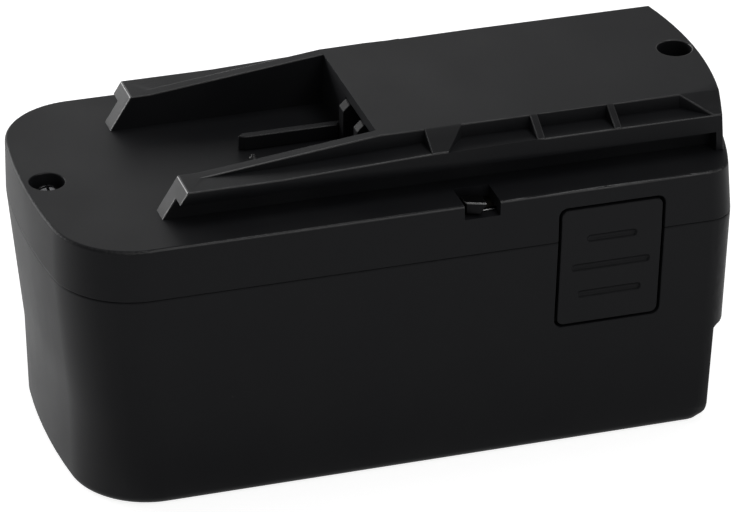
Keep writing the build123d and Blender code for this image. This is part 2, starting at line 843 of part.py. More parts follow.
# Contact clips: folded spring sheet that pinches the tool's blade
for slot, clip_name in ((slot_wide, "contact_clip_positive"), (slot_narrow, "contact_clip_negative")):
    slot_y = (slot[0] + slot[1]) / 2
    with BuildPart() as clip:
        with BuildSketch(Plane.XY.offset(deck_height)):
            with BuildLine():
                Polyline(
                    (clip_front, slot_y - clip_half_width),
                    (clip_pinch, slot_y - clip_half_mouth),
                    (clip_shoulder, slot_y - clip_half_width),
                    (clip_rear, slot_y - clip_half_width),
                    (clip_rear, slot_y + clip_half_width),
                    (clip_shoulder, slot_y + clip_half_width),
                    (clip_pinch, slot_y + clip_half_mouth),
                    (clip_front, slot_y + clip_half_width),
                )
            trace(line_width=clip_sheet)
        extrude(amount=clip_top - deck_height)
    clip.part.label = clip_name
    export_step(clip.part, f"parts/{clip_name}.step")

# Leads from the clips to the end tabs
lead_start = clip_rear + clip_sheet / 2
wide_y = sum(slot_wide) / 2
narrow_y = sum(slot_narrow) / 2
lead_routes = {
    "positive_lead": [
        (lead_start, wide_y, lead_height),
        (wide_lead_turn, wide_y, lead_height),
        (columns[-1], row_ys[1], lead_drop),
        (columns[-1], row_ys[1], tab_height),
    ],
    "negative_lead": [
        (lead_start, narrow_y, lead_height),
        (narrow_lead_turn, narrow_y, lead_height),
        (columns[-1], row_ys[0], lead_drop),
        (columns[-1], row_ys[0], tab_height),
    ],
}
for lead_name, route in lead_routes.items():
    with BuildPart() as lead:
        with BuildLine() as lead_line:
            FilletPolyline(*route, radius=lead_bend)
        with BuildSketch(Plane(origin=route[0], z_dir=(1, 0, 0))):
            Circle(lead_radius)
        sweep()
    lead.part.label = lead_name
    export_step(lead.part, f"parts/{lead_name}.step")
    run = sum(edge.length for edge in lead_line.edges())
    share = lead.part.volume / (pi * lead_radius ** 2 * run)
    print(f"{lead_name}: {run:.1f} mm long, bends of radius {lead_bend} mm, volume over section {share:.3f}")
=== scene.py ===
"""Looks of the battery pack: moulded shells, buttons, hooks, screws, contacts and the cells inside."""

import math

import bmesh
import bpy
from mathutils import Matrix, Vector


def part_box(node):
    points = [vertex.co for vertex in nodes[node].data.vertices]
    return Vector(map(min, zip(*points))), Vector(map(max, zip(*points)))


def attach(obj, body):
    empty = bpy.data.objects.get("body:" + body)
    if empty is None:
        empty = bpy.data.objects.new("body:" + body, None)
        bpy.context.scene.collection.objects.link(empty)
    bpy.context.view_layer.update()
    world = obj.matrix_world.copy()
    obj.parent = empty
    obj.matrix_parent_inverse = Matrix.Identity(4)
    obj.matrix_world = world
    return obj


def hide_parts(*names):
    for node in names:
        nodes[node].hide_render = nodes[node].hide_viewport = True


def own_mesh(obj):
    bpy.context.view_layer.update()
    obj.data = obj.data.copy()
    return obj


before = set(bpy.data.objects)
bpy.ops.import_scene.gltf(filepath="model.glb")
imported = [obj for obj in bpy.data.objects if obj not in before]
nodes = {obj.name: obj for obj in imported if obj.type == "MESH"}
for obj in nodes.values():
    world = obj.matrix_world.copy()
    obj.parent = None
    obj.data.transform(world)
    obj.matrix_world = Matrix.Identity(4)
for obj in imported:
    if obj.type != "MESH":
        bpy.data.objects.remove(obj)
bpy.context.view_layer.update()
mm = 0.001

# Photograph: width in pixels, and the solved camera
photo_width = 736
focal_pixels = 4702.1
camera_azimuth = -18.36
camera_elevation = 29.23
camera_roll = 1.01
camera_target = Vector((-0.02, 0.0, 28.15)) * mm
camera_distance = 850.4 * mm

# The sky's strength as light, and how white the studio looks to the camera and in a gloss
sky_strength = 0.12
sky_seen = 1.0
sky_gloss = 0.35
floor_seen = 0.85
floor_gloss = 0.86
# the floor's glow in a gloss at the pack's foot, darkened as painted shade
floor_gloss_at_foot = 0.34

# The floor lies a hair below the pack's underside, so that the two aren't in one plane
floor_height = -0.03 * mm
floor_reach = 3.0

# In front of the pack, the stretch over which the floor in a gloss falls to its darkest at the pack's foot:
# painted shade in its reflection
shade_start = -0.105
shade_end = -0.035
shade_edge = -0.03

# Softboxes: where each hangs, the width of its square, and its power in watts
softboxes = {
    "left_softbox": ((-0.85, 0.7, 0.2), 0.5, 5.4),
    "far_left_softbox": ((-0.6, 0.95, 0.25), 0.5, 5.3),
    "top_softbox": ((0.25, 0.1, 0.95), 0.35, 1.4),
    "behind_softbox": ((0.1, 0.95, 0.5), 0.6, 1.4),
    "front_fill": ((0.1, -1.0, 0.5), 0.8, 0.9),
    "rim_softbox": ((0.38, -0.65, 0.85), 0.45, 1.15),
    "right_fill": ((0.9, -0.3, 0.3), 0.5, 0.8),
}

# How strongly the matt mouldings mirror, against a plain gloss of 0.5, and how their worn edges, painted
# lighter as a highlight, shine and vary along an edge
matt_gloss = 0.11
edge_mask_coat = 0.62
least_wear_and_highlight = 0.85

# Dust specks: how far apart, how small within their spacing, how dense and how pale
dust_spacing = 3.4 * mm
dust_size = (0.035, 0.02)
dust_cover = 0.5
dust_colour = (0.18, 0.17, 0.16)

# Points closer than this are one point in a copy of a CAD mesh
weld_reach = 0.002 * mm

# Roundings of the moulded edges
shell_edge = 0.22 * mm
button_edge = 0.2 * mm
block_edge = 0.2 * mm
hook_edge = 0.22 * mm
# the band of the deck rim's rounding whose middle is painted lighter as a highlight line
rim_band = (51.75 * mm, 52.42 * mm)

# Angles, in degrees: facets that are merged, corners that are rounded, and the cut ends of the spring wire
merged_angle = 0.6
corner_angle = 30.0
wire_end_angle = 50.0

# Faces that are worn and painted lighter as a highlight: how far they face up, and on the deck's rim how
# far sideways and up
strip_upward = 0.1
rim_sideways = 0.4
rim_tilt = (0.3, 0.85)

# Notches in the deck's rim, whose mouths keep crisp edges: reach along the pack, depth and floor
notch_reach = (6.5 * mm, 16.5 * mm)
notch_depth = 19.5 * mm
notch_floor = 47.0 * mm

# Foot of the finger step's wall, which bows round an upright axis: its rounding in the CAD and in the
# photograph, the cuts that make it smooth, the axis and the wall's distance from it, and where it starts
base_rounding = 1.8 * mm
foot_rounding = 3.4 * mm
foot_steps = 9
foot_middle = -12.6 * mm
foot_wall = 74.10 * mm
foot_start = 48 * mm
foot_grid = 0.8 * mm
foot_reach = 64 * mm
foot_half_width = 29 * mm

# Cells: where they stand, and the sizes that the washers and the weld dots follow
cell_pitch = 22.4 * mm
cell_top = 46.1 * mm
cell_foot = 3.3 * mm
cell_columns = [(index - 2) * cell_pitch for index in range(5)]
strip_top = 46.4 * mm


# Shader helpers

def new_material(name):
    """A node material with its shader, ready for colour and texture."""
    material = bpy.data.materials.new(name)
    material.use_nodes = True
    tree = material.node_tree
    tree.nodes.clear()
    shader = tree.nodes.new("ShaderNodeBsdfPrincipled")
    output = tree.nodes.new("ShaderNodeOutputMaterial")
    tree.links.new(shader.outputs["BSDF"], output.inputs["Surface"])
    return material, tree, shader


def start_group(name, inputs, outputs):
    """An empty shader node group with named sockets."""
    group = bpy.data.node_groups.new(name, "ShaderNodeTree")
    for label, kind, value in inputs:
        socket = group.interface.new_socket(name=label, in_out="INPUT", socket_type=kind)
        socket.default_value = value
    for label, kind in outputs:
        group.interface.new_socket(name=label, in_out="OUTPUT", socket_type=kind)
    return group, group.nodes.new("NodeGroupInput"), group.nodes.new("NodeGroupOutput")


def math_node(tree, operation, first, second=None):
    """A maths node fed by links or by plain numbers."""
    node = tree.nodes.new("ShaderNodeMath")
    node.operation = operation
    for socket, value in zip(node.inputs, (first, second)):
        if isinstance(value, (int, float)):
            socket.default_value = value
        elif value is not None:
            tree.links.new(value, socket)
    return node.outputs[0]


def span(tree, value, low, high, to_low=0.0, to_high=1.0):
    """Maps a value from one span to another, and holds it at the ends."""
    node = tree.nodes.new("ShaderNodeMapRange")
    node.inputs["From Min"].default_value = low
    node.inputs["From Max"].default_value = high
    node.inputs["To Min"].default_value = to_low
    node.inputs["To Max"].default_value = to_high
    tree.links.new(value, node.inputs["Value"])
    return node.outputs["Result"]


def blend_colours(tree, factor, first, second):
    """Mixes two colours, each a plain colour or a link."""
    node = tree.nodes.new("ShaderNodeMix")
    node.data_type = "RGBA"
    tree.links.new(factor, node.inputs["Factor"])
    for label, value in (("A", first), ("B", second)):
        if isinstance(value, tuple):
            node.inputs[label].default_value = (*value, 1)
        else:
            tree.links.new(value, node.inputs[label])
    return node.outputs["Result"]


def noise_node(tree, vector, size, detail, roughness):
    """A noise texture whose features are about a given size, a link or a number."""
    node = tree.nodes.new("ShaderNodeTexNoise")
    node.inputs["Detail"].default_value = detail
    node.inputs["Roughness"].default_value = roughness
    tree.links.new(vector, node.inputs["Vector"])
    if isinstance(size, (int, float)):
        node.inputs["Scale"].default_value = 1 / size
    else:
        tree.links.new(math_node(tree, "DIVIDE", 1.0, size), node.inputs["Scale"])
    return node.outputs["Fac"]


def make_moulded_grain():
    """Spark-eroded mould texture: fine grain for the bump, soft patches and a few pale specks of dust."""
    group, start, end = start_group(
        "moulded_grain",
        [
            ("Grain size", "NodeSocketFloat", 0.25 * mm),
            ("Patch size", "NodeSocketFloat", 14 * mm),
            ("Dust", "NodeSocketFloat", 0.2),
        ],
        [("Height", "NodeSocketFloat"), ("Patches", "NodeSocketFloat"), ("Dust mask", "NodeSocketFloat")],
    )
    links = group.links
    place = group.nodes.new("ShaderNodeTexCoord").outputs["Object"]
    grain = noise_node(group, place, start.outputs["Grain size"], 3.0, 0.6)
    patches = noise_node(group, place, start.outputs["Patch size"], 2.0, 0.5)
    cells = group.nodes.new("ShaderNodeTexVoronoi")
    cells.feature = "F1"
    links.new(place, cells.inputs["Vector"])
    cells.inputs["Scale"].default_value = 1 / dust_spacing
    chosen = group.nodes.new("ShaderNodeSeparateColor")
    links.new(cells.outputs["Color"], chosen.inputs["Color"])
    rare = math_node(group, "LESS_THAN", chosen.outputs["Red"], start.outputs["Dust"])
    speck = span(group, cells.outputs["Distance"], *dust_size)
    links.new(grain, end.inputs["Height"])
    links.new(span(group, patches, 0.3, 0.7), end.inputs["Patches"])
    links.new(math_node(group, "MULTIPLY", speck, rare), end.inputs["Dust mask"])
    return group


def make_worn_and_highlit_edges():
    """Where the rounded edges are worn smooth and painted lighter as a highlight, in uneven stretches."""
    group, start, end = start_group(
        "worn_and_highlit_edges",
        [("Stretch length", "NodeSocketFloat", 4 * mm), ("Least", "NodeSocketFloat", 0.5)],
        [("Wear and highlight", "NodeSocketFloat")],
    )
    edge = group.nodes.new("ShaderNodeAttribute")
    edge.attribute_name = "rounded_edge"
    place = group.nodes.new("ShaderNodeTexCoord").outputs["Object"]
    stretches = span(group, noise_node(group, place, start.outputs["Stretch length"], 2.0, 0.5), 0.35, 0.6)
    uneven = math_node(group, "MAXIMUM", stretches, start.outputs["Least"])
    wear_and_highlight = math_node(group, "MULTIPLY", edge.outputs["Fac"], uneven)
    group.links.new(wear_and_highlight, end.inputs["Wear and highlight"])
    return group


moulded_grain = make_moulded_grain()
worn_and_highlit_edges = make_worn_and_highlit_edges()


def worn_and_highlit_mask(tree):
    """The shared mask of worn edges and their painted highlight, placed in one material."""
    edges = tree.nodes.new("ShaderNodeGroup")
    edges.node_tree = worn_and_highlit_edges
    edges.inputs["Least"].default_value = least_wear_and_highlight
    return edges.outputs["Wear and highlight"]


def moulded_plastic(name, colour, pale, wear_and_highlight, roughness, edge_roughness, grain_size, grain_depth, dust):
    """Black moulded plastic: faint patches, a fine grained skin, worn edges that are polished and painted
    lighter as a highlight, and a little dust.
    """
    material, tree, shader = new_material(name)
    links = tree.links
    shader.inputs["Specular IOR Level"].default_value = matt_gloss
    shader.inputs["Coat Roughness"].default_value = edge_roughness
    grain = tree.nodes.new("ShaderNodeGroup")
    grain.node_tree = moulded_grain
    grain.inputs["Grain size"].default_value = grain_size
    grain.inputs["Dust"].default_value = dust
    edges = worn_and_highlit_mask(tree)

    mottled = blend_colours(tree, grain.outputs["Patches"], colour, pale)
    # marked edges take a lighter colour: wear, and a painted highlight along them
    worn_highlit_tone = blend_colours(tree, edges, mottled, wear_and_highlight)
    dust_mask = math_node(tree, "MULTIPLY", grain.outputs["Dust mask"], dust_cover)
    links.new(blend_colours(tree, dust_mask, worn_highlit_tone, dust_colour), shader.inputs["Base Color"])

    skin = span(tree, grain.outputs["Patches"], 0, 1, roughness, roughness + 0.06)
    smoothing = math_node(tree, "MULTIPLY", edges, roughness - edge_roughness)
    links.new(math_node(tree, "SUBTRACT", skin, smoothing), shader.inputs["Roughness"])
    links.new(math_node(tree, "MULTIPLY", edges, edge_mask_coat), shader.inputs["Coat Weight"])

    bump = tree.nodes.new("ShaderNodeBump")
    bump.inputs["Distance"].default_value = grain_depth
    links.new(grain.outputs["Height"], bump.inputs["Height"])
    links.new(bump.outputs["Normal"], shader.inputs["Normal"])
    return material


def brushed_metal(name, colour, dark, roughness, brush, grain_size, bright=None):
    """Rolled or drawn metal: fine streaks along one way, and edges painted bright, a painted highlight as
    well as wear where something rubs it.
    """
    material, tree, shader = new_material(name)
    links = tree.links
    shader.inputs["Metallic"].default_value = 1.0
    mapping = tree.nodes.new("ShaderNodeMapping")
    mapping.inputs["Scale"].default_value = brush
    links.new(tree.nodes.new("ShaderNodeTexCoord").outputs["Object"], mapping.inputs["Vector"])
    streaks = noise_node(tree, mapping.outputs["Vector"], grain_size, 4.0, 0.5)
    tone = blend_colours(tree, streaks, dark, colour)
    rough = span(tree, streaks, 0, 1, roughness * 0.75, roughness * 1.25)
    if bright:
        # marked edges are painted bright: painted highlight and wear
        edges = worn_and_highlit_mask(tree)
        tone = blend_colours(tree, edges, tone, bright)
        rough = math_node(tree, "SUBTRACT", rough, math_node(tree, "MULTIPLY", edges, roughness * 0.5))
    links.new(tone, shader.inputs["Base Color"])
    links.new(rough, shader.inputs["Roughness"])
    bump = tree.nodes.new("ShaderNodeBump")
    bump.inputs["Distance"].default_value = 0.01 * mm
    links.new(streaks, bump.inputs["Height"])
    links.new(bump.outputs["Normal"], shader.inputs["Normal"])
    return material


def cell_jacket():
    """Shrink sleeve round each cell, with the plated steel ends left bare."""
    material, tree, shader = new_material("cell_jacket")
    links = tree.links
    place = tree.nodes.new("ShaderNodeTexCoord").outputs["Object"]
    facing = tree.nodes.new("ShaderNodeSeparateXYZ")
    links.new(tree.nodes.new("ShaderNodeNewGeometry").outputs["Normal"], facing.inputs["Vector"])
    end_face = math_node(tree, "GREATER_THAN", math_node(tree, "ABSOLUTE", facing.outputs["Z"]), 0.9)
    wrinkles = noise_node(tree, place, 3 * mm, 3.0, 0.55)
    sleeve = blend_colours(tree, wrinkles, (0.028, 0.12, 0.095), (0.04, 0.17, 0.13))
    steel = blend_colours(tree, wrinkles, (0.5, 0.49, 0.47), (0.62, 0.61, 0.58))
    links.new(blend_colours(tree, end_face, sleeve, steel), shader.inputs["Base Color"])
    links.new(end_face, shader.inputs["Metallic"])
    links.new(span(tree, wrinkles, 0.3, 0.7, 0.22, 0.34), shader.inputs["Roughness"])
    bump = tree.nodes.new("ShaderNodeBump")
    bump.inputs["Distance"].default_value = 0.05 * mm
    links.new(wrinkles, bump.inputs["Height"])
    links.new(bump.outputs["Normal"], shader.inputs["Normal"])
    return material


def fibre_board(name, colour, pale, fibre_length):
    """Pressed card: long pale fibres in every direction, on a matt ground."""
    material, tree, shader = new_material(name)
    links = tree.links
    place = tree.nodes.new("ShaderNodeTexCoord").outputs["Object"]
    fibres = None
    for stretch in ((1, 7, 7), (7, 1, 7)):
        mapping = tree.nodes.new("ShaderNodeMapping")
        mapping.inputs["Scale"].default_value = stretch
        links.new(place, mapping.inputs["Vector"])
        layer = noise_node(tree, mapping.outputs["Vector"], fibre_length, 3.0, 0.6)
        fibres = layer if fibres is None else math_node(tree, "MAXIMUM", fibres, layer)
    links.new(blend_colours(tree, span(tree, fibres, 0.4, 0.75), colour, pale), shader.inputs["Base Color"])
    shader.inputs["Roughness"].default_value = 0.85
    bump = tree.nodes.new("ShaderNodeBump")
    bump.inputs["Distance"].default_value = 0.04 * mm
    links.new(fibres, bump.inputs["Height"])
    links.new(bump.outputs["Normal"], shader.inputs["Normal"])
    return material


def closed_foam():
    """Dark closed-cell foam: small round pores in a dull ground."""
    material, tree, shader = new_material("closed_foam")
    links = tree.links
    pores = tree.nodes.new("ShaderNodeTexVoronoi")
    pores.inputs["Scale"].default_value = 1 / (0.9 * mm)
    links.new(tree.nodes.new("ShaderNodeTexCoord").outputs["Object"], pores.inputs["Vector"])
    depth = span(tree, pores.outputs["Distance"], 0.1, 0.6)
    links.new(blend_colours(tree, depth, (0.03, 0.03, 0.03), (0.1, 0.1, 0.1)), shader.inputs["Base Color"])
    shader.inputs["Roughness"].default_value = 0.9
    bump = tree.nodes.new("ShaderNodeBump")
    bump.inputs["Distance"].default_value = 0.12 * mm
    links.new(depth, bump.inputs["Height"])
    links.new(bump.outputs["Normal"], shader.inputs["Normal"])
    return material


def smooth_coating(name, colour, deep, roughness, ripple_size):
    """Smooth insulation or lacquer: an even colour that clouds a little, with a faint ripple."""
    material, tree, shader = new_material(name)
    links = tree.links
    place = tree.nodes.new("ShaderNodeTexCoord").outputs["Object"]
    ripple = noise_node(tree, place, ripple_size, 2.0, 0.5)
    links.new(blend_colours(tree, ripple, deep, colour), shader.inputs["Base Color"])
    links.new(span(tree, ripple, 0.3, 0.7, roughness, roughness + 0.1), shader.inputs["Roughness"])
    bump = tree.nodes.new("ShaderNodeBump")
    bump.inputs["Distance"].default_value = 0.02 * mm
    links.new(ripple, bump.inputs["Height"])
    links.new(bump.outputs["Normal"], shader.inputs["Normal"])
    return material


# the third colour of each moulding is the lighter tint of its worn edges, which also paints their highlight
shell_plastic = moulded_plastic(
    "shell_plastic", (0.0095, 0.0098, 0.0112), (0.0125, 0.0128, 0.014), (0.02, 0.02, 0.021),
    0.46, 0.26, 0.22 * mm, 0.016 * mm, 0.03,
)
button_plastic = moulded_plastic(
    "button_plastic", (0.0105, 0.0107, 0.012), (0.013, 0.0133, 0.0145), (0.02, 0.02, 0.021),
    0.44, 0.26, 0.2 * mm, 0.012 * mm, 0.02,
)
block_plastic = moulded_plastic(
    "block_plastic", (0.009, 0.009, 0.01), (0.011, 0.011, 0.012), (0.014, 0.014, 0.014),
    0.5, 0.4, 0.3 * mm, 0.006 * mm, 0.0,
)
# the hook's upper edges are painted bright: a painted highlight on the dark steel, with some wear where the
# tool rubs
hook_steel = brushed_metal(
    "hook_steel", (0.011, 0.011, 0.012), (0.006, 0.006, 0.006), 0.45, (1.0, 6.0, 6.0), 0.5 * mm,
    bright=(0.2, 0.2, 0.2),
)
spring_steel = brushed_metal(
    "spring_steel", (0.55, 0.55, 0.56), (0.35, 0.35, 0.36), 0.35, (4.0, 1.0, 4.0), 0.4 * mm
)
screw_steel = brushed_metal(
    "screw_steel", (0.34, 0.34, 0.35), (0.2, 0.2, 0.21), 0.24, (1.0, 1.0, 3.0), 0.5 * mm
)
contact_brass = brushed_metal(
    "contact_brass", (0.78, 0.64, 0.36), (0.6, 0.46, 0.22), 0.3, (1.0, 5.0, 5.0), 0.5 * mm
)
nickel_strip = brushed_metal(
    "nickel_strip", (0.68, 0.66, 0.61), (0.5, 0.48, 0.44), 0.36, (1.0, 6.0, 6.0), 0.6 * mm
)
cell_sleeve = cell_jacket()
card_board = fibre_board("card_board", (0.3, 0.27, 0.21), (0.5, 0.46, 0.38), 1.6 * mm)
washer_paper = fibre_board("washer_paper", (0.5, 0.5, 0.47), (0.68, 0.68, 0.64), 0.8 * mm)
foam = closed_foam()
cutout_lacquer = smooth_coating("cutout_lacquer", (0.5, 0.34, 0.1), (0.36, 0.22, 0.06), 0.3, 2 * mm)
red_insulation = smooth_coating("red_insulation", (0.5, 0.025, 0.02), (0.36, 0.015, 0.012), 0.35, 1.5 * mm)
black_insulation = smooth_coating(
    "black_insulation", (0.02, 0.02, 0.02), (0.012, 0.012, 0.012), 0.35, 1.5 * mm
)


# Pieces

def plain_mesh(piece, name):
    """Mesh of a piece with its modifiers worked out, as a plain copy."""
    graph = bpy.context.evaluated_depsgraph_get()
    mesh = bpy.data.meshes.new_from_object(piece.evaluated_get(graph))
    mesh.name = name
    piece.modifiers.clear()
    piece.data = mesh


def link_piece(name, mesh):
    """A new piece at the origin."""
    piece = bpy.data.objects.new(name, mesh)
    bpy.context.scene.collection.objects.link(piece)
    return piece


def piece_from(body, name):
    """A new piece from an edited body, which is used up."""
    mesh = bpy.data.meshes.new(name)
    body.to_mesh(mesh)
    body.free()
    return link_piece(name, mesh)


def copied_body(node, flat_angle=None):
    """A CAD node's loose triangles as one skin, with its flat stretches merged where an angle is given."""
    body = bmesh.new()
    body.from_mesh(nodes[node].data)
    bmesh.ops.remove_doubles(body, verts=body.verts, dist=weld_reach)
    if flat_angle:
        bmesh.ops.dissolve_limit(
            body, angle_limit=math.radians(flat_angle), verts=body.verts, edges=body.edges
        )
    bmesh.ops.recalc_face_normals(body, faces=body.faces)
    return body


def finish_piece(piece, body, material):
    """Gives a piece its material, and lets it ride on its CAD body."""
    piece.data.materials.clear()
    piece.data.materials.append(material)
    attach(piece, body)


def by_a_notch(edge):
    """True for the crisp mouth edges of the two notches in the deck's rim."""
    middle = (edge.verts[0].co + edge.verts[1].co) / 2
    within = notch_reach[0] < middle.x < notch_reach[1]
    return within and abs(middle.y) > notch_depth and middle.z > notch_floor


def mark_wear_and_highlight(body, strips, wear_and_highlight, wear_and_highlight_from):
    """Marks the upward-facing rounded strips above a height, and the middle of the deck rim's rounding, for
    wear and a painted highlight.
    """
    mark = body.loops.layers.float.new("rounded_edge")
    for face in strips:
        upper_facing = face.calc_center_median().z > wear_and_highlight_from and face.normal.z > strip_upward
        for loop in face.loops:
            loop[mark] = wear_and_highlight if upper_facing else 0.0
    for face in body.faces:
        # the middle of the rim's rounding, turned up and out, is marked for a painted highlight line
        along_side = abs(face.normal.y) > rim_sideways and abs(face.normal.x) < rim_sideways
        in_rim = rim_band[0] < face.calc_center_median().z < rim_band[1] < wear_and_highlight_from
        if in_rim and along_side and rim_tilt[0] < face.normal.z < rim_tilt[1]:
            for loop in face.loops:
                loop[mark] = wear_and_highlight


def cut_across(body, faces, normal, places):
    """Cuts some faces along level or upright planes, and gives the faces that they become."""
    for place in places:
        plane = Vector(normal) * place
        edges = dict.fromkeys(edge for face in faces for edge in face.edges)
        corners = dict.fromkeys(corner for face in faces for corner in face.verts)
        done = bmesh.ops.bisect_plane(
            body, geom=[*faces, *edges, *corners], dist=0.001 * mm, plane_co=plane, plane_no=Vector(normal)
        )
        faces = [item for item in done["geom"] if isinstance(item, bmesh.types.BMFace)]
    return faces


def rounded_out(across, up, small, large):
    """How far a point of a small rounding moves out from the middle of the larger one that replaces it."""
    length = math.hypot(across, up)
    if across <= 0 or up <= 0 or length < 1e-9:
        return 1.0
    rest = large - small
    if min(across, up) * large <= rest * max(across, up):
        return max(across, up) / length
    along = rest * (across + up) / length
    reach = along + math.sqrt(max(small ** 2 - 2 * rest ** 2 + along ** 2, 0.0))
    return large / reach


def round_rear_foot(body):
    """Gives the wall of the finger step the larger rounding that its foot has in the photograph."""
    cut_across(body, body.faces[:], (1, 0, 0), [foot_start])
    low = [
        face for face in body.faces
        if min(corner.co.x for corner in face.verts) > foot_start - 0.01 * mm
        and min(corner.co.z for corner in face.verts) < foot_rounding
    ]
    heights = [foot_rounding * step / foot_steps for step in range(1, foot_steps + 1)]
    low = cut_across(body, low, (0, 0, 1), reversed(heights))
    low = [face for face in low if max(corner.co.z for corner in face.verts) < foot_rounding + 0.01 * mm]
    reach = [foot_start + foot_grid * step for step in range(1, int((foot_reach - foot_start) / foot_grid))]
    low = cut_across(body, low, (1, 0, 0), reach)
    half = int(foot_half_width / foot_grid)
    cut_across(body, low, (0, 1, 0), [foot_grid * step for step in range(-half, half + 1)])
    for corner in body.verts:
        if corner.co.x < foot_start or corner.co.z > foot_rounding:
            continue
        spoke = Vector((corner.co.x - foot_middle, corner.co.y))
        depth = max(foot_wall - spoke.length, 0.0)
        if depth < foot_rounding:
            across, up = foot_rounding - depth, foot_rounding - corner.co.z
            share = rounded_out(across, up, base_rounding, foot_rounding)
            spoke *= (foot_wall - foot_rounding + across * share) / spoke.length
            corner.co = (foot_middle + spoke.x, spoke.y, foot_rounding - up * share)


def softened(node, width, wear_and_highlight, wear_and_highlight_from):
    """Copy of a CAD node whose sharp outer edges are rounded, with the strips for wear and a painted
    highlight marked.
    """
    body = copied_body(node, merged_angle)
    if node == "case":
        round_rear_foot(body)
    corners = [
        edge for edge in body.edges
        if len(edge.link_faces) == 2
        and edge.calc_face_angle_signed(0.0) > math.radians(corner_angle)
        and not (node == "cover" and by_a_notch(edge))
    ]
    rounded = bmesh.ops.bevel(
        body, geom=corners, offset=width, offset_type="OFFSET", segments=2, profile=0.5,
        affect="EDGES", clamp_overlap=False, material=-1, miter_outer="ARC",
    )
    mark_wear_and_highlight(body, rounded["faces"], wear_and_highlight, wear_and_highlight_from)
    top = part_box(node)[1].z
    for corner in body.verts:
        corner.co.z = min(corner.co.z, top)
    for face in body.faces:
        face.smooth = True
        face.material_index = 0
    for edge in body.edges:
        turned = edge.calc_face_angle_signed(0.0)
        crisp = node == "cover" and by_a_notch(edge) and turned > math.radians(corner_angle)
        edge.smooth = len(edge.link_faces) == 2 and turned > -math.radians(corner_angle) and not crisp
    piece = piece_from(body, f"{node}_moulding")
    shading = piece.modifiers.new("even shading", "WEIGHTED_NORMAL")
    shading.keep_sharp = True
    plain_mesh(piece, f"{node}_moulding")
    return piece


# width of the rounding, how strongly its strips are worn and painted lighter as a highlight, and the height
# from which they are
for node, width, wear_and_highlight, wear_and_highlight_from, body, material, slot in (
    ("case", shell_edge, 0.0, 0.0, "pack", shell_plastic, "shell_plastic"),
    ("cover", shell_edge, 1.0, 53 * mm, "pack", shell_plastic, "shell_plastic"),
    ("guide_rib", shell_edge, 0.4, 53 * mm, "pack", shell_plastic, "shell_plastic"),
    ("contact_block", block_edge, 0.1, 53 * mm, "pack", block_plastic, "block_plastic"),
    ("release_button_left", button_edge, 0.0, 0.0, "left_release", button_plastic, "button_plastic"),
    ("release_button_right", button_edge, 0.0, 0.0, "right_release", button_plastic, "button_plastic"),
    ("latch_hook_left", hook_edge, 1.0, 48 * mm, "left_release", hook_steel, "hook_steel"),
    ("latch_hook_right", hook_edge, 1.0, 48 * mm, "right_release", hook_steel, "hook_steel"),
):
    moulding = softened(node, width, wear_and_highlight, wear_and_highlight_from)
    finish_piece(moulding, body, material)
    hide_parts(node)

# the springs' coils, as smooth wire with crisp cut ends, each with a mesh of its own, ride on the pack
for side, sign in (("left", -1), ("right", 1)):
    spring = f"button_spring_{side}"
    body = copied_body(spring)
    for face in body.faces:
        face.smooth = True
        face.material_index = 0
    for edge in body.edges:
        turned = edge.calc_face_angle_signed(0.0)
        edge.smooth = len(edge.link_faces) == 2 and turned < math.radians(wire_end_angle)
    coil = piece_from(body, f"{spring}_coil")
    finish_piece(coil, "pack", spring_steel)
    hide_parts(spring)
    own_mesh(coil)

carried = {
    "cover_screws": screw_steel,
    "contact_clip_positive": contact_brass,
    "contact_clip_negative": contact_brass,
    "top_strips": nickel_strip,
    "bottom_strips": nickel_strip,
    "top_card": card_board,
    "base_pad": foam,
    "thermal_cutout": cutout_lacquer,
    "positive_lead": red_insulation,
    "negative_lead": black_insulation,
}
for number in range(1, 11):
    carried[f"cell_{number:02d}"] = cell_sleeve
for node, material in carried.items():
    for material_slot in nodes[node].material_slots:
        material_slot.material = material


# Small things that repeat, grown by node trees from the places where they sit

def start_tree(name, inputs):
    """A geometry node tree that takes places and named values, and gives one geometry."""
    tree = bpy.data.node_groups.new(name, "GeometryNodeTree")
    tree.interface.new_socket(name="Places", in_out="INPUT", socket_type="NodeSocketGeometry")
    for label, kind, value in inputs:
        socket = tree.interface.new_socket(name=label, in_out="INPUT", socket_type=kind)
        if value is not None:
            socket.default_value = value
    tree.interface.new_socket(name="Pieces", in_out="OUTPUT", socket_type="NodeSocketGeometry")
    return tree, tree.nodes.new("NodeGroupInput"), tree.nodes.new("NodeGroupOutput")


def put_on_places(tree, start, end, shape):
    """Stands a shape on every place, makes it real and gives it its material."""
    links = tree.links
    spread = tree.nodes.new("GeometryNodeInstanceOnPoints")
    links.new(start.outputs["Places"], spread.inputs["Points"])
    links.new(shape, spread.inputs["Instance"])
    real = tree.nodes.new("GeometryNodeRealizeInstances")
    links.new(spread.outputs["Instances"], real.inputs["Geometry"])
    coat = tree.nodes.new("GeometryNodeSetMaterial")
    links.new(real.outputs["Geometry"], coat.inputs["Geometry"])
    links.new(start.outputs["Material"], coat.inputs["Material"])
    links.new(coat.outputs["Geometry"], end.inputs["Pieces"])


def make_weld_dots():
    """Low, flat-topped nuggets that a spot welder leaves on a strip."""
    tree, start, end = start_tree(
        "weld_dots",
        [
            ("Dot radius", "NodeSocketFloat", 0.7 * mm),
            ("Dot height", "NodeSocketFloat", 0.1 * mm),
            ("Material", "NodeSocketMaterial", None),
        ],
    )
    nugget = tree.nodes.new("GeometryNodeMeshCone")
    nugget.inputs["Vertices"].default_value = 14
    tree.links.new(start.outputs["Dot radius"], nugget.inputs["Radius Bottom"])
    narrowed = tree.nodes.new("ShaderNodeMath")
    narrowed.operation = "MULTIPLY"
    narrowed.inputs[1].default_value = 0.65
    tree.links.new(start.outputs["Dot radius"], narrowed.inputs[0])
    tree.links.new(narrowed.outputs[0], nugget.inputs["Radius Top"])
    tree.links.new(start.outputs["Dot height"], nugget.inputs["Depth"])
    put_on_places(tree, start, end, nugget.outputs["Mesh"])
    return tree


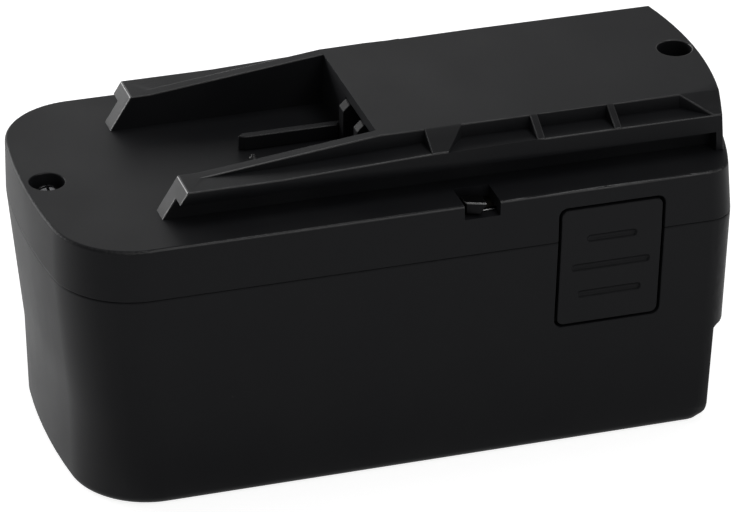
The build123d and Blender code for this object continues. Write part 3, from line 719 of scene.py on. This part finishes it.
def make_cell_washers():
    """Paper rings that lie in the channel round each cell's nub."""
    tree, start, end = start_tree(
        "cell_washers",
        [
            ("Middle radius", "NodeSocketFloat", 6.5 * mm),
            ("Ring width", "NodeSocketFloat", 5.0 * mm),
            ("Thickness", "NodeSocketFloat", 0.35 * mm),
            ("Material", "NodeSocketMaterial", None),
        ],
    )
    links = tree.links
    path = tree.nodes.new("GeometryNodeCurvePrimitiveCircle")
    path.inputs["Resolution"].default_value = 48
    links.new(start.outputs["Middle radius"], path.inputs["Radius"])
    section = tree.nodes.new("GeometryNodeCurvePrimitiveQuadrilateral")
    links.new(start.outputs["Ring width"], section.inputs["Width"])
    links.new(start.outputs["Thickness"], section.inputs["Height"])
    ring = tree.nodes.new("GeometryNodeCurveToMesh")
    links.new(path.outputs["Curve"], ring.inputs["Curve"])
    links.new(section.outputs["Curve"], ring.inputs["Profile Curve"])
    put_on_places(tree, start, end, ring.outputs["Mesh"])
    return tree


def grow(name, tree, places, values, material):
    """Runs a tree on a set of places and keeps the result as a plain piece on the pack."""
    mesh = bpy.data.meshes.new(name)
    mesh.from_pydata(places, [], [])
    piece = link_piece(name, mesh)
    modifier = piece.modifiers.new(tree.name, "NODES")
    modifier.node_group = tree
    for item in tree.interface.items_tree:
        if item.in_out == "INPUT" and item.name in values:
            modifier[item.identifier] = values[item.name]
        elif item.in_out == "INPUT" and item.name == "Material":
            modifier[item.identifier] = material
    plain_mesh(piece, name)
    finish_piece(piece, "pack", material)
    return piece


cell_middles = [(x, side * cell_pitch / 2) for x in cell_columns for side in (-1, 1)]
dot_spread = 1.4 * mm
weld_dots = make_weld_dots()
grow(
    "top_weld_dots",
    weld_dots,
    [
        (x + across * dot_spread, y + along * dot_spread, strip_top)
        for x, y in cell_middles
        for across in (-1, 1)
        for along in (-1, 1)
        if x < cell_columns[-1]
    ],
    {"Dot radius": 0.7 * mm, "Dot height": 0.1 * mm},
    nickel_strip,
)

# a nub points up on every second cell of the series
washer_rest = 1.08 * mm
up_nubs = []
down_nubs = []
for index, x in enumerate(cell_columns):
    for side in (-1, 1):
        series_place = 5 - index if side < 0 else 6 + index
        if series_place % 2 == 0:
            up_nubs.append((x, side * cell_pitch / 2, cell_top - washer_rest))
        else:
            down_nubs.append((x, side * cell_pitch / 2, cell_foot + washer_rest))
grow(
    "cell_washers",
    make_cell_washers(),
    up_nubs + down_nubs,
    {"Middle radius": 6.5 * mm, "Ring width": 5.0 * mm, "Thickness": 0.35 * mm},
    washer_paper,
)


def turned_pip(name, place, profile, wear_and_highlight, sides=20):
    """A small turned form from a profile of radius and height, capped on top, marked all over for the edge
    tint and its painted highlight.
    """
    body = bmesh.new()
    rings = []
    for radius, height in profile:
        ring = []
        for step in range(sides):
            angle = 2 * math.pi * step / sides
            point = Vector((radius * math.cos(angle), radius * math.sin(angle), height))
            ring.append(body.verts.new(Vector(place) + point))
        rings.append(ring)
    for lower, upper in zip(rings, rings[1:]):
        for step in range(sides):
            following = (step + 1) % sides
            body.faces.new((lower[step], lower[following], upper[following], upper[step]))
    body.faces.new(rings[-1])
    mark = body.loops.layers.float.new("rounded_edge")
    for face in body.faces:
        face.smooth = True
        for loop in face.loops:
            loop[mark] = wear_and_highlight
    return piece_from(body, name)


# The gate where the plastic flowed in, left of the floor rib's tip, painted lighter all over as a glint
gate_mark = turned_pip(
    "gate_mark",
    (-22.2 * mm, -1.4 * mm, 52.4 * mm),
    [
        (0.75 * mm, -0.05 * mm), (0.7 * mm, 0.08 * mm), (0.42 * mm, 0.14 * mm),
        (0.36 * mm, 0.55 * mm), (0.2 * mm, 0.65 * mm),
    ],
    1.0,
)
finish_piece(gate_mark, "pack", shell_plastic)


# Studio: pale floor and backdrop, soft level light, and the photograph's camera

def by_ray(tree, seen, mirrored, lighting):
    """One strength for what the camera sees, one for what a gloss or glass shows, and one for the rest."""
    path = tree.nodes.new("ShaderNodeLightPath")
    glossy = math_node(tree, "MAXIMUM", path.outputs["Is Glossy Ray"], path.outputs["Is Transmission Ray"])
    above = math_node(tree, "SUBTRACT", mirrored, lighting)
    strength = math_node(tree, "ADD", math_node(tree, "MULTIPLY", glossy, above), lighting)
    return math_node(
        tree, "ADD", strength, math_node(tree, "MULTIPLY", path.outputs["Is Camera Ray"], seen - lighting)
    )


def studio_white(name, seen, mirrored, at_foot):
    """Pale floor paint that the camera sees as plain white, and that still takes the pack's shadow.

    A gloss shows it darker close to the pack's near side, where the pack stands in its own shade: painted
    shade in the floor's glow.
    """
    material, tree, shader = new_material(name)
    shader.inputs["Base Color"].default_value = (0.6, 0.6, 0.6, 1)
    shader.inputs["Roughness"].default_value = 0.9
    shader.inputs["Specular IOR Level"].default_value = 0.1
    shader.inputs["Emission Color"].default_value = (1, 1, 1, 1)
    place = tree.nodes.new("ShaderNodeSeparateXYZ")
    tree.links.new(tree.nodes.new("ShaderNodeNewGeometry").outputs["Position"], place.inputs["Vector"])
    # painted shade: the glow that a gloss shows fades towards the pack's near side
    in_front = span(tree, place.outputs["Y"], shade_end, shade_start, at_foot, mirrored)
    beyond = math_node(tree, "GREATER_THAN", place.outputs["Y"], shade_edge)
    shaded = math_node(tree, "MAXIMUM", in_front, math_node(tree, "MULTIPLY", beyond, mirrored))
    tree.links.new(by_ray(tree, seen, shaded, 0.0), shader.inputs["Emission Strength"])
    return material


floor_mesh = bpy.data.meshes.new("studio_floor")
floor_corners = [
    (x * floor_reach, y * floor_reach, floor_height) for x, y in ((-1, -1), (1, -1), (1, 1), (-1, 1))
]
floor_mesh.from_pydata(floor_corners, [], [(0, 1, 2, 3)])
studio_floor = bpy.data.objects.new("studio_floor", floor_mesh)
bpy.context.scene.collection.objects.link(studio_floor)
floor_mesh.materials.append(studio_white("floor_paint", floor_seen, floor_gloss, floor_gloss_at_foot))

world = bpy.data.worlds.new("studio_world")
world.use_nodes = True
bpy.context.scene.world = world
background = world.node_tree.nodes["Background"]
background.inputs["Color"].default_value = (1, 1, 1, 1)
sky_by_ray = by_ray(world.node_tree, sky_seen, sky_gloss, sky_strength)
world.node_tree.links.new(sky_by_ray, background.inputs["Strength"])


def soft_lamp(name, place, size, power):
    """A square softbox that hangs at a place and points at the pack."""
    light = bpy.data.lights.new(name, "AREA")
    light.shape = "SQUARE"
    light.size = size
    light.energy = power
    lamp = bpy.data.objects.new(name, light)
    lamp.location = place
    lamp.rotation_mode = "QUATERNION"
    lamp.rotation_quaternion = (camera_target - Vector(place)).to_track_quat("-Z", "Y")
    bpy.context.scene.collection.objects.link(lamp)


for name, (place, size, power) in softboxes.items():
    soft_lamp(name, place, size, power)

azimuth = math.radians(camera_azimuth)
elevation = math.radians(camera_elevation)
roll = math.radians(camera_roll)
back = Vector(
    (math.sin(azimuth) * math.cos(elevation), -math.cos(azimuth) * math.cos(elevation), math.sin(elevation))
)
level_right = Vector((math.cos(azimuth), math.sin(azimuth), 0))
level_up = back.cross(level_right)
right = level_right * math.cos(roll) + level_up * math.sin(roll)
up = level_up * math.cos(roll) - level_right * math.sin(roll)
camera_data = bpy.data.cameras.new("photo_camera")
camera_data.sensor_width = 36.0
camera_data.lens = focal_pixels * camera_data.sensor_width / photo_width
camera_data.clip_start = 0.05
camera_data.clip_end = 20.0
camera = bpy.data.objects.new("photo_camera", camera_data)
turn = Matrix((right, up, back)).transposed().to_4x4()
camera.matrix_world = Matrix.Translation(camera_target + back * camera_distance) @ turn
bpy.context.scene.collection.objects.link(camera)
bpy.context.scene.camera = camera

bpy.context.scene.view_settings.view_transform = "Standard"
